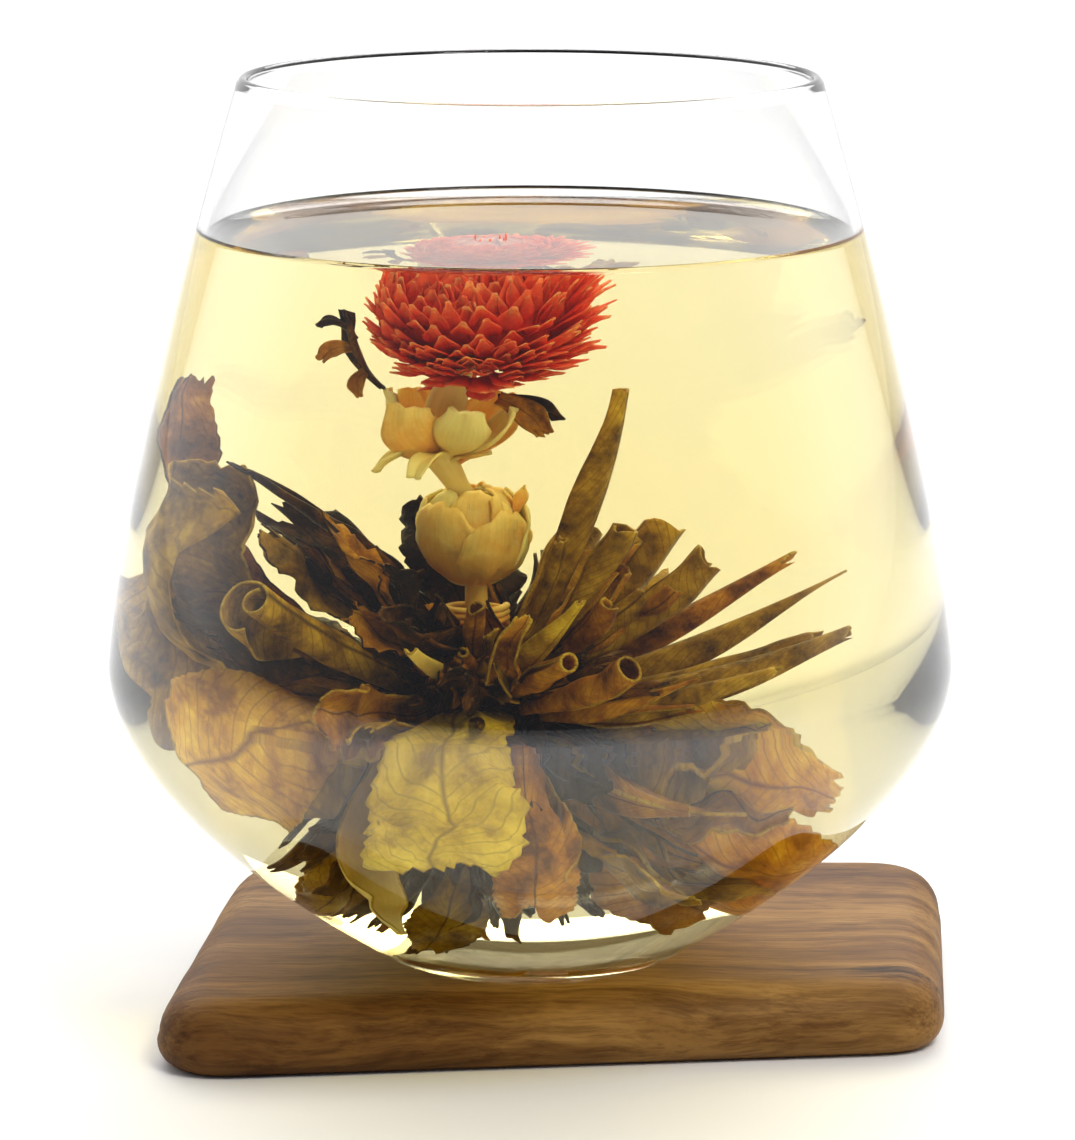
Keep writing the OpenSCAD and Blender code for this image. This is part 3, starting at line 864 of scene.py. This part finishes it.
def make_lower_jasmine():
    """A closed blossom of broad waxy petals in three layers, with loose frilled upper edges."""
    lo, hi = (Vector(c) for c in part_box("lower_jasmine"))
    mid, size = (lo + hi) / 2, (hi - lo) / 2
    heap = Heap(CREAM, YELLOW)
    rows, cols = 20, 13
    for layer, (count, top, grow) in enumerate(((4, 82, 0.84), (5, 74, 0.93), (5, 58, 1.0))):
        for k in range(count):
            az0 = 360 * (k + 0.45 * layer) / count + 20 + RNG.uniform(-12, 12)
            spread = RNG.uniform(40, 60)
            crown = top + RNG.uniform(-26, 8)
            verts, uvs = [], []
            for i in range(rows):
                u = i / (rows - 1)
                for j in range(cols):
                    v = 2 * j / (cols - 1) - 1
                    ragged = 16 * wobble((v * 2.6, k, layer), 1.0, layer + k)
                    el = math.radians(lerp(-84, crown + ragged - 22 * v * v, u))
                    az = math.radians(az0 + v * spread * profile(u, 0.8, 0.5, 0.75))
                    flare = 0.13 * smooth((u - 0.75) / 0.25) + 0.04 * math.sin(3 * v + k) * u
                    r = grow + flare + 0.03 * v * v + 0.09 * wobble((v * 2, u * 2.5, k), 1.0, layer)
                    r += 0.03 * wobble((v * 6, u * 8, k), 1.0, layer)
                    verts.append(mid + Vector((size.x * r * math.cos(el) * math.cos(az),
                                               size.y * r * math.cos(el) * math.sin(az),
                                               size.z * r * math.sin(el))))
                    uvs.append((u, (v + 1) / 2))
            heap.add((verts, grid_faces(rows, cols), uvs), YELLOW if (k + layer) % 3 == 0 else CREAM)
    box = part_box("lower_jasmine")
    heap.add(petal([inside(box, 0.88, 0.4, 0.75), inside(box, 0.93, 0.38, 0.9),
                    inside(box, 0.97, 0.36, 1.06)],
                   Vector((0, -1, 0)), 0.7 * MM, 0.4, tip=0.05), CREAM)
    heap.piece("lower_jasmine_petals", "flower", ("lower_jasmine",), "jasmine_petal", 0.3 * MM)


def make_upper_jasmine():
    """A blossom leaning to -X: broad petals under the head, and two that curl down."""
    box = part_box("upper_jasmine")
    front, left, right, back = Vector((0, -1, 0)), Vector((-1, 0, 0)), Vector((1, 0, 0)), Vector((0, 1, 0))
    foot = (0.52, 0.48, 0.12)
    heap = Heap(CREAM, YELLOW)
    for end, halfway, face, width, cup, tip, colour in (
            ((0.06, 0.48, 1.02), (0.06, 0.48, 0.45), right, 3.3, 0.45, 0.75, YELLOW),
            ((0.20, 0.06, 0.92), (0.16, 0.05, 0.35), back, 3.2, 0.40, 0.70, CREAM),
            ((0.62, 0.02, 0.86), (0.55, 0.02, 0.35), back, 3.0, 0.40, 0.65, YELLOW),
            ((0.98, 0.30, 0.84), (0.96, 0.34, 0.42), left, 2.7, 0.40, 0.60, YELLOW),
            ((0.85, 0.85, 0.90), (0.80, 0.80, 0.40), front, 3.0, 0.35, 0.60, CREAM),
            ((0.30, 0.98, 0.90), (0.32, 0.90, 0.40), front, 3.0, 0.35, 0.60, CREAM),
            ((-0.02, 0.28, -0.06), (0.16, 0.22, 0.42), UP, 1.35, 0.75, 0.60, YELLOW),
            ((0.24, 0.05, -0.08), (0.30, 0.10, 0.30), UP, 1.5, 0.60, 0.60, YELLOW),
            ((0.80, 0.30, 0.22), (0.68, 0.32, 0.10), UP, 0.9, 0.50, 0.20, CREAM)):
        points = [inside(box, *foot), inside(box, *halfway), inside(box, *end)]
        heap.add(petal(points, face, width * MM, cup, rows=18, cols=11, tip=tip, frill=0.35,
                       seed=width * 3 + tip), colour)
    heap.piece("upper_jasmine_petals", "flower", ("upper_jasmine",), "jasmine_petal", 0.3 * MM)


def make_stem():
    """A soft pale stem that swells where it carries a blossom."""
    points = {tuple(round(c, 6) for c in v.co) for v in frame["nodes"]["flower_stem"].data.vertices}
    levels = {}
    for p in points:
        levels.setdefault(round(p[2], 4), []).append(Vector(p))
    rings = [(sum(ring, Vector()) / len(ring), Vector((1, 0, 0)), 1.5 * MM) for _,
             ring in sorted(levels.items())]
    rows, sides = 48, 16
    verts, uvs = [], []
    for i in range(rows):
        u = i / (rows - 1)
        centre, way, side, half = along(rings, u)
        swell = 0.72 + 0.55 * smooth((u - 0.40) / 0.22) - 0.5 * smooth((u - 0.8) / 0.2)
        up = side.cross(way)
        for k in range(sides):
            a = 2 * math.pi * k / sides
            r = half * swell * (1 + 0.14 * wobble((math.cos(a), math.sin(a), u * 6), 1.0))
            verts.append(centre + side * r * math.cos(a) + up * r * math.sin(a))
            uvs.append((u, k / sides))
    faces = grid_faces(rows, sides, closed=True)
    faces += [tuple(range(sides - 1, -1, -1)), tuple(range((rows - 1) * sides, rows * sides))]
    add_piece("flower_stem_skin", verts, faces, YELLOW, "flower", uvs, ("flower_stem",), "pale_stem")


def make_head_leaves():
    """Two scraps of leaf beside the head: one curls up its left side, one folds under its right."""
    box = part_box("head_leaf_left")
    heap = Heap(DARK, BROWN)
    for points, face, width, tip in (
            ([(1.6, 0.5, -0.15), (0.9, 0.4, 0.2), (0.7, 0.4, 0.95)], (-1, -0.3, 0), 1.5, 0.5),
            ([(0.9, 0.4, 0.55), (0.35, 0.3, 0.9), (0.0, 0.3, 0.72)], (0, 0, 1), 1.2, 0.7),
            ([(0.9, 0.4, 0.40), (0.3, 0.2, 0.5), (0.05, 0.3, 0.25)], (0, -1, 0.4), 1.1, 0.6),
            ([(1.2, 0.5, 0.1), (0.8, 0.2, -0.05), (1.0, 0.2, -0.25)], (-0.5, -1, 0), 1.0, 0.4)):
        heap.add(petal([inside(box, *p) for p in points], Vector(face), width * MM, 0.7, rows=14, cols=9,
                       tip=tip,
                       frill=0.7, seed=width), BROWN if width < 1.15 else DARK)
    heap.piece("head_leaf_left_lobes", "flower", ("head_leaf_left",), "dark_leaf", 0.25 * MM)
    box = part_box("head_leaf_right")
    heap = Heap(DARK, BROWN)
    for points, face, width, tip in (
            ([(-0.5, 0.4, 0.95), (0.2, 0.1, 0.75), (0.6, 0.2, 0.15)], (0.3, -1, 0.3), 1.9, 0.5),
            ([(-0.5, 0.6, 0.95), (0.5, 0.5, 0.95), (0.95, 0.4, 0.45)], (0.2, 0.3, 1), 1.5, 0.4)):
        heap.add(petal([inside(box, *p) for p in points], Vector(face), width * MM, 0.6, rows=14, cols=9,
                       tip=tip,
                       frill=0.6, seed=width), BROWN if width > 1.6 else DARK)
    heap.piece("head_leaf_right_lobes", "flower", ("head_leaf_right",), "dark_leaf", 0.25 * MM)


def make_thread():
    lo, hi = (Vector(c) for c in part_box("binding_thread"))
    mid, r = (lo + hi) / 2, (hi - lo).x / 2 - 0.45 * MM
    turns, steps, sides = 3, 40, 8
    verts = []
    rows = turns * steps + 1
    for i in range(rows):
        a = 2 * math.pi * i / steps
        z = lerp(lo.z + 0.4 * MM, hi.z - 0.4 * MM, i / (rows - 1))
        out = Vector((math.cos(a), math.sin(a), 0))
        for k in range(sides):
            b = 2 * math.pi * k / sides
            verts.append(Vector((mid.x, mid.y,
                                 z)) + out * (r + 0.4 * MM * math.cos(b)) + UP * 0.4 * MM * math.sin(b))
    uvs = [(i // sides / rows, i % sides / sides) for i in range(len(verts))]
    faces = grid_faces(rows, sides, closed=True)
    faces += [tuple(range(sides - 1, -1, -1)), tuple(range((rows - 1) * sides, rows * sides))]
    add_piece("thread_turns", verts, faces, CREAM, "infusion", uvs, ("binding_thread",), "cotton_thread")


# ---------------------------------------------------------------- board

def hull_outline(points):
    """The convex outline of points seen from above, anticlockwise."""
    points = sorted({(round(p[0], 6), round(p[1], 6)) for p in points})

    def half(seq):
        out = []
        for p in seq:
            while len(out) > 1 and ((out[-1][0] - out[-2][0]) * (p[1] - out[-2][1])
                                    - (out[-1][1] - out[-2][1]) * (p[0] - out[-2][0])) <= 0:
                out.pop()
            out.append(p)
        return out[:-1]

    return half(points) + half(reversed(points))


def evenly(outline, count):
    """count points at even spacing round a closed outline."""
    loop = outline + outline[:1]
    steps = [math.dist(a, b) for a, b in zip(loop, loop[1:])]
    total, out, i, walked = sum(steps), [], 0, 0.0
    for k in range(count):
        target = total * k / count
        while walked + steps[i] < target:
            walked += steps[i]
            i += 1
        t = (target - walked) / steps[i]
        out.append(Vector((lerp(loop[i][0], loop[i + 1][0], t), lerp(loop[i][1], loop[i + 1][1], t), 0)))
    return out


def make_board():
    lo, hi = (Vector(c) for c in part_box("serving_board"))
    thick = hi.z - lo.z
    outline = evenly(hull_outline([v.co for v in frame["nodes"]["serving_board"].data.vertices]), 240)
    for _ in range(6):
        ahead = outline[1:] + outline[:1]
        outline = [(outline[i - 1] + outline[i] * 2 + ahead[i]) / 4 for i in range(len(outline))]
    count = len(outline)
    inward = []
    for i in range(count):
        way = (outline[(i + 1) % count] - outline[i - 1]).normalized()
        inward.append(Vector((-way.y, way.x, 0)))
    top_r, low_r = thick * 0.55, thick * 0.34
    edge = []
    for d in range(-90, 1, 10):
        a = math.radians(d)
        edge.append((low_r * (1 - math.cos(a)), low_r * (1 + math.sin(a))))
    for d in range(0, 91, 9):
        a = math.radians(d)
        edge.append((top_r * (1 - math.cos(a)) * 1.15, thick - top_r * (1 - math.sin(a))))
    verts = []
    centre = sum(outline, Vector()) / count
    fill = [0.93, 0.8, 0.6, 0.35]
    rings = [(None, 0.0, s) for s in reversed(fill)] + [(e[0], e[1],
                                                         None) for e in edge] + [(None, thick,
                                                                                  s) for s in fill]
    for inset, z, shrink in rings:
        for p, n in zip(outline, inward):
            if shrink is None:
                q = p + n * inset
            else:
                rim = p + n * (edge[0][0] if z == 0.0 else edge[-1][0])
                q = centre + (rim - centre) * shrink
            q = q.copy()
            q.z = lo.z + z
            if z > low_r and shrink is None:
                q += n * 0.25 * MM * (1 + wobble(q, 9 * MM, 3.0))
            verts.append(q)
    faces = grid_faces(len(rings), count, closed=True)
    bottom, top = len(verts), len(verts) + 1
    verts += [Vector((centre.x, centre.y, lo.z)), Vector((centre.x, centre.y, lo.z + thick))]
    last = (len(rings) - 1) * count
    for k in range(count):
        n = (k + 1) % count
        faces.append((bottom, n, k))
        faces.append((top, last + k, last + n))
    add_piece("board_slab", verts, faces, WOOD, "board", nodes=("serving_board",), slot="board_wood")


# ---------------------------------------------------------------- stage

def make_stage():
    ground = cad_box[0].z
    size = 3.0
    mesh = bpy.data.meshes.new("studio_floor")
    mesh.from_pydata([(-size, -size, ground), (size, -size, ground), (size, size, ground),
                      (-size, size, ground)],
                     [], [(0, 1, 2, 3)])
    mesh.materials.append(floor_material())
    floor = bpy.data.objects.new("studio_floor", mesh)
    bpy.context.scene.collection.objects.link(floor)


def add_area(name, at, target, size, power, colour=(1, 1, 1)):
    data = bpy.data.lights.new(name, "AREA")
    data.shape = "RECTANGLE"
    data.size, data.size_y = size
    data.energy = power
    data.color = colour
    lamp = bpy.data.objects.new(name, data)
    lamp.location = at
    lamp.rotation_mode = "QUATERNION"
    lamp.rotation_quaternion = (Vector(target) - Vector(at)).to_track_quat("-Z", "Y")
    bpy.context.scene.collection.objects.link(lamp)
    return lamp


def make_light():
    """A bright backdrop, a dark front, a soft box behind, a key from the right, and a far floor lamp."""
    world = bpy.data.worlds.new("soft_studio")
    bpy.context.scene.world = world
    world.use_nodes = True
    tree = world.node_tree
    sky = tree.nodes["Background"]
    split = tree.nodes.new("ShaderNodeSeparateXYZ")
    tree.links.new(tree.nodes.new("ShaderNodeTexCoord").outputs["Generated"], split.inputs[0])
    across = maths(tree, "MULTIPLY_ADD", split.outputs["Y"], 0.5, 0.5)
    glow = ramp(tree, across, [(0.0, (0.10, 0.10, 0.11)), (0.38, (0.22, 0.22, 0.23)),
                               (0.62, (0.85, 0.85, 0.85)),
                               (1.0, (1.0, 1.0, 1.0))])
    tree.links.new(glow, sky.inputs["Color"])
    sky.inputs["Strength"].default_value = 1.15
    middle_z = (cad_box[0].z + cad_box[1].z) / 2
    target = (0, 0, middle_z)
    add_area("key_light", (0.30, -0.42, 0.70), target, (0.30, 0.30), 4.2, (1.0, 0.98, 0.95))
    add_area("back_light", (0.0, 0.70, 0.75), target, (1.1, 0.7), 7.0)
    add_area("far_light", (0.0, 2.2, 1.6), (0.0, 2.2, 0.0), (2.4, 1.6), 30.0)


def make_camera():
    data = bpy.data.cameras.new("camera")
    camera = bpy.data.objects.new("camera", data)
    bpy.context.scene.collection.objects.link(camera)
    data.sensor_width = 36.0
    data.lens = 150.4
    data.clip_start, data.clip_end = 0.01, 20.0
    camera.location = (0.9 * MM, -575 * MM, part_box("tumbler")[0][2] + 164 * MM)
    camera.rotation_euler = (math.radians(90 - 11.4), 0, 0)
    bpy.context.scene.camera = camera


def set_render():
    scene = bpy.context.scene
    scene.cycles.max_bounces = 24
    scene.cycles.transmission_bounces = 24
    scene.cycles.transparent_max_bounces = 32
    scene.cycles.glossy_bounces = 8
    scene.cycles.diffuse_bounces = 4
    scene.view_settings.view_transform = "Standard"


make_camera()
make_stage()
make_light()
set_render()
make_board()
make_tumbler()
make_tea()
make_leaves()
make_settled()
make_heart()
make_thread()
make_stem()
make_lower_jasmine()
make_upper_jasmine()
make_amaranth()
make_head_leaves()
